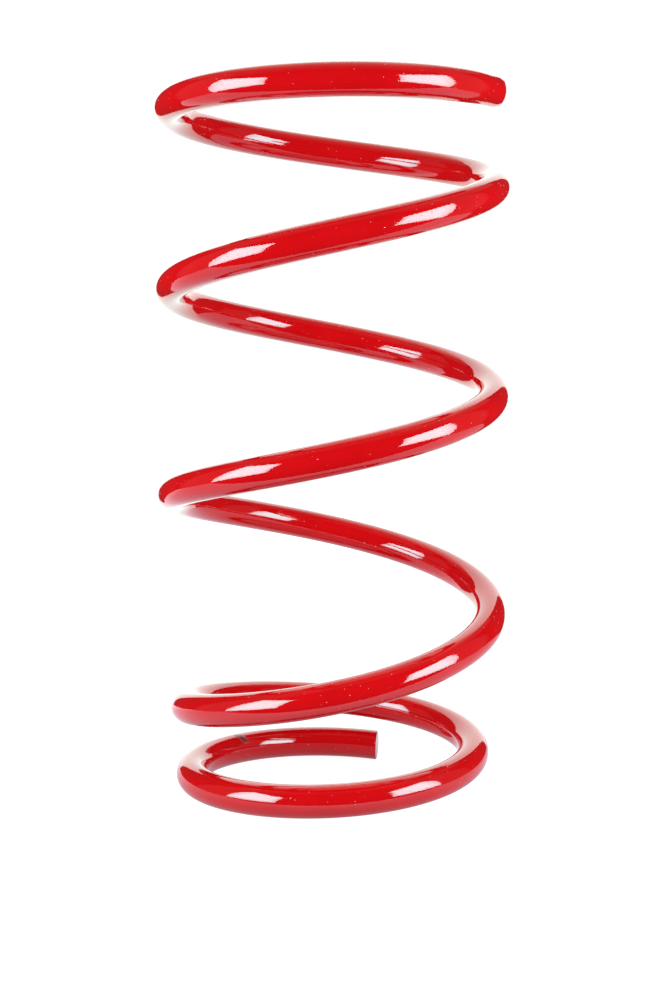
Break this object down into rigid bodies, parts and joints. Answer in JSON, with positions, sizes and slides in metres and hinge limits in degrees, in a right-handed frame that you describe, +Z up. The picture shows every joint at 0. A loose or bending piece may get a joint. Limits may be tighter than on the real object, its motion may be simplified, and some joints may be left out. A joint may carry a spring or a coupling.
{
  "type": "coil spring",
  "caption": "Right-hand wound suspension compression spring in round wire, with a smaller closely wound lower end, a level upper end and an open bore.",
  "frame": {"origin": "on the coil axis, level with the lowest point of the wire", "axes": "+Z up along the coil axis from the smaller closely wound end to the level end; the lower cut end of the wire is 70 degrees round from +X and the upper one 18 degrees before +X, both counted anticlockwise from above"},
  "size_m": [0.157, 0.157, 0.3197],
  "materials": {
    "red_powder_coat": "glossy red powder coat over spring steel wire, with fine orange peel"
  },
  "bodies": {
    "lower_end_coil": {"lower_end_coil_arc_01": "red_powder_coat", "lower_end_coil_arc_02": "red_powder_coat", "lower_end_coil_arc_03": "red_powder_coat", "lower_end_coil_arc_04": "red_powder_coat", "lower_end_coil_arc_05": "red_powder_coat", "lower_end_coil_arc_06": "red_powder_coat", "lower_end_coil_arc_07": "red_powder_coat", "lower_end_coil_arc_08": "red_powder_coat"},
    "active_coil_arc_01": {"active_coil_arc_01": "red_powder_coat"},
    "active_coil_arc_02": {"active_coil_arc_02": "red_powder_coat"},
    "active_coil_arc_03": {"active_coil_arc_03": "red_powder_coat"},
    "active_coil_arc_04": {"active_coil_arc_04": "red_powder_coat"},
    "active_coil_arc_05": {"active_coil_arc_05": "red_powder_coat"},
    "active_coil_arc_06": {"active_coil_arc_06": "red_powder_coat"},
    "active_coil_arc_07": {"active_coil_arc_07": "red_powder_coat"},
    "active_coil_arc_08": {"active_coil_arc_08": "red_powder_coat"},
    "active_coil_arc_09": {"active_coil_arc_09": "red_powder_coat"},
    "active_coil_arc_10": {"active_coil_arc_10": "red_powder_coat"},
    "active_coil_arc_11": {"active_coil_arc_11": "red_powder_coat"},
    "active_coil_arc_12": {"active_coil_arc_12": "red_powder_coat"},
    "active_coil_arc_13": {"active_coil_arc_13": "red_powder_coat"},
    "active_coil_arc_14": {"active_coil_arc_14": "red_powder_coat"},
    "active_coil_arc_15": {"active_coil_arc_15": "red_powder_coat"},
    "active_coil_arc_16": {"active_coil_arc_16": "red_powder_coat"},
    "active_coil_arc_17": {"active_coil_arc_17": "red_powder_coat"},
    "active_coil_arc_18": {"active_coil_arc_18": "red_powder_coat"},
    "active_coil_arc_19": {"active_coil_arc_19": "red_powder_coat"},
    "active_coil_arc_20": {"active_coil_arc_20": "red_powder_coat"},
    "active_coil_arc_21": {"active_coil_arc_21": "red_powder_coat"},
    "active_coil_arc_22": {"active_coil_arc_22": "red_powder_coat"},
    "active_coil_arc_23": {"active_coil_arc_23": "red_powder_coat"},
    "active_coil_arc_24": {"active_coil_arc_24": "red_powder_coat"},
    "active_coil_arc_25": {"active_coil_arc_25": "red_powder_coat"},
    "active_coil_arc_26": {"active_coil_arc_26": "red_powder_coat"},
    "active_coil_arc_27": {"active_coil_arc_27": "red_powder_coat"},
    "upper_end_coil": {"upper_end_coil_arc_01": "red_powder_coat", "upper_end_coil_arc_02": "red_powder_coat", "upper_end_coil_arc_03": "red_powder_coat"}
  },
  "joints": [
    {"name": "compression", "type": "slide", "parent": "lower_end_coil", "child": "upper_end_coil", "axis": [0, 0, -1], "range_m": [0, 0.17], "stiffness_N_per_m": 38000},
    {"name": "active_coil_arc_01_travel", "type": "slide", "parent": "lower_end_coil", "child": "active_coil_arc_01", "axis": [0, 0, -1], "range_m": [0, 0.00128]},
    {"name": "active_coil_arc_02_travel", "type": "slide", "parent": "lower_end_coil", "child": "active_coil_arc_02", "axis": [0, 0, -1], "range_m": [0, 0.00458]},
    {"name": "active_coil_arc_03_travel", "type": "slide", "parent": "lower_end_coil", "child": "active_coil_arc_03", "axis": [0, 0, -1], "range_m": [0, 0.0089]},
    {"name": "active_coil_arc_04_travel", "type": "slide", "parent": "lower_end_coil", "child": "active_coil_arc_04", "axis": [0, 0, -1], "range_m": [0, 0.01423]},
    {"name": "active_coil_arc_05_travel", "type": "slide", "parent": "lower_end_coil", "child": "active_coil_arc_05", "axis": [0, 0, -1], "range_m": [0, 0.02059]},
    {"name": "active_coil_arc_06_travel", "type": "slide", "parent": "lower_end_coil", "child": "active_coil_arc_06", "axis": [0, 0, -1], "range_m": [0, 0.02792]},
    {"name": "active_coil_arc_07_travel", "type": "slide", "parent": "lower_end_coil", "child": "active_coil_arc_07", "axis": [0, 0, -1], "range_m": [0, 0.03553]},
    {"name": "active_coil_arc_08_travel", "type": "slide", "parent": "lower_end_coil", "child": "active_coil_arc_08", "axis": [0, 0, -1], "range_m": [0, 0.04324]},
    {"name": "active_coil_arc_09_travel", "type": "slide", "parent": "lower_end_coil", "child": "active_coil_arc_09", "axis": [0, 0, -1], "range_m": [0, 0.05097]},
    {"name": "active_coil_arc_10_travel", "type": "slide", "parent": "lower_end_coil", "child": "active_coil_arc_10", "axis": [0, 0, -1], "range_m": [0, 0.05859]},
    {"name": "active_coil_arc_11_travel", "type": "slide", "parent": "lower_end_coil", "child": "active_coil_arc_11", "axis": [0, 0, -1], "range_m": [0, 0.06607]},
    {"name": "active_coil_arc_12_travel", "type": "slide", "parent": "lower_end_coil", "child": "active_coil_arc_12", "axis": [0, 0, -1], "range_m": [0, 0.07341]},
    {"name": "active_coil_arc_13_travel", "type": "slide", "parent": "lower_end_coil", "child": "active_coil_arc_13", "axis": [0, 0, -1], "range_m": [0, 0.08062]},
    {"name": "active_coil_arc_14_travel", "type": "slide", "parent": "lower_end_coil", "child": "active_coil_arc_14", "axis": [0, 0, -1], "range_m": [0, 0.08771]},
    {"name": "active_coil_arc_15_travel", "type": "slide", "parent": "lower_end_coil", "child": "active_coil_arc_15", "axis": [0, 0, -1], "range_m": [0, 0.09464]},
    {"name": "active_coil_arc_16_travel", "type": "slide", "parent": "lower_end_coil", "child": "active_coil_arc_16", "axis": [0, 0, -1], "range_m": [0, 0.10146]},
    {"name": "active_coil_arc_17_travel", "type": "slide", "parent": "lower_end_coil", "child": "active_coil_arc_17", "axis": [0, 0, -1], "range_m": [0, 0.10812]},
    {"name": "active_coil_arc_18_travel", "type": "slide", "parent": "lower_end_coil", "child": "active_coil_arc_18", "axis": [0, 0, -1], "range_m": [0, 0.11467]},
    {"name": "active_coil_arc_19_travel", "type": "slide", "parent": "lower_end_coil", "child": "active_coil_arc_19", "axis": [0, 0, -1], "range_m": [0, 0.12108]},
    {"name": "active_coil_arc_20_travel", "type": "slide", "parent": "lower_end_coil", "child": "active_coil_arc_20", "axis": [0, 0, -1], "range_m": [0, 0.12767]},
    {"name": "active_coil_arc_21_travel", "type": "slide", "parent": "lower_end_coil", "child": "active_coil_arc_21", "axis": [0, 0, -1], "range_m": [0, 0.13476]},
    {"name": "active_coil_arc_22_travel", "type": "slide", "parent": "lower_end_coil", "child": "active_coil_arc_22", "axis": [0, 0, -1], "range_m": [0, 0.14238]},
    {"name": "active_coil_arc_23_travel", "type": "slide", "parent": "lower_end_coil", "child": "active_coil_arc_23", "axis": [0, 0, -1], "range_m": [0, 0.14986]},
    {"name": "active_coil_arc_24_travel", "type": "slide", "parent": "lower_end_coil", "child": "active_coil_arc_24", "axis": [0, 0, -1], "range_m": [0, 0.15625]},
    {"name": "active_coil_arc_25_travel", "type": "slide", "parent": "lower_end_coil", "child": "active_coil_arc_25", "axis": [0, 0, -1], "range_m": [0, 0.16154]},
    {"name": "active_coil_arc_26_travel", "type": "slide", "parent": "lower_end_coil", "child": "active_coil_arc_26", "axis": [0, 0, -1], "range_m": [0, 0.16572]},
    {"name": "active_coil_arc_27_travel", "type": "slide", "parent": "lower_end_coil", "child": "active_coil_arc_27", "axis": [0, 0, -1], "range_m": [0, 0.16881]}
  ],
  "couplings": [
    {"joint": "active_coil_arc_01_travel", "follows": "compression", "ratio": 0.0075},
    {"joint": "active_coil_arc_02_travel", "follows": "compression", "ratio": 0.0269},
    {"joint": "active_coil_arc_03_travel", "follows": "compression", "ratio": 0.0523},
    {"joint": "active_coil_arc_04_travel", "follows": "compression", "ratio": 0.0837},
    {"joint": "active_coil_arc_05_travel", "follows": "compression", "ratio": 0.1211},
    {"joint": "active_coil_arc_06_travel", "follows": "compression", "ratio": 0.1642},
    {"joint": "active_coil_arc_07_travel", "follows": "compression", "ratio": 0.209},
    {"joint": "active_coil_arc_08_travel", "follows": "compression", "ratio": 0.2543},
    {"joint": "active_coil_arc_09_travel", "follows": "compression", "ratio": 0.2998},
    {"joint": "active_coil_arc_10_travel", "follows": "compression", "ratio": 0.3446},
    {"joint": "active_coil_arc_11_travel", "follows": "compression", "ratio": 0.3886},
    {"joint": "active_coil_arc_12_travel", "follows": "compression", "ratio": 0.4318},
    {"joint": "active_coil_arc_13_travel", "follows": "compression", "ratio": 0.4742},
    {"joint": "active_coil_arc_14_travel", "follows": "compression", "ratio": 0.5159},
    {"joint": "active_coil_arc_15_travel", "follows": "compression", "ratio": 0.5567},
    {"joint": "active_coil_arc_16_travel", "follows": "compression", "ratio": 0.5968},
    {"joint": "active_coil_arc_17_travel", "follows": "compression", "ratio": 0.636},
    {"joint": "active_coil_arc_18_travel", "follows": "compression", "ratio": 0.6745},
    {"joint": "active_coil_arc_19_travel", "follows": "compression", "ratio": 0.7122},
    {"joint": "active_coil_arc_20_travel", "follows": "compression", "ratio": 0.751},
    {"joint": "active_coil_arc_21_travel", "follows": "compression", "ratio": 0.7927},
    {"joint": "active_coil_arc_22_travel", "follows": "compression", "ratio": 0.8375},
    {"joint": "active_coil_arc_23_travel", "follows": "compression", "ratio": 0.8815},
    {"joint": "active_coil_arc_24_travel", "follows": "compression", "ratio": 0.9191},
    {"joint": "active_coil_arc_25_travel", "follows": "compression", "ratio": 0.9502},
    {"joint": "active_coil_arc_26_travel", "follows": "compression", "ratio": 0.9748},
    {"joint": "active_coil_arc_27_travel", "follows": "compression", "ratio": 0.993}
  ]
}
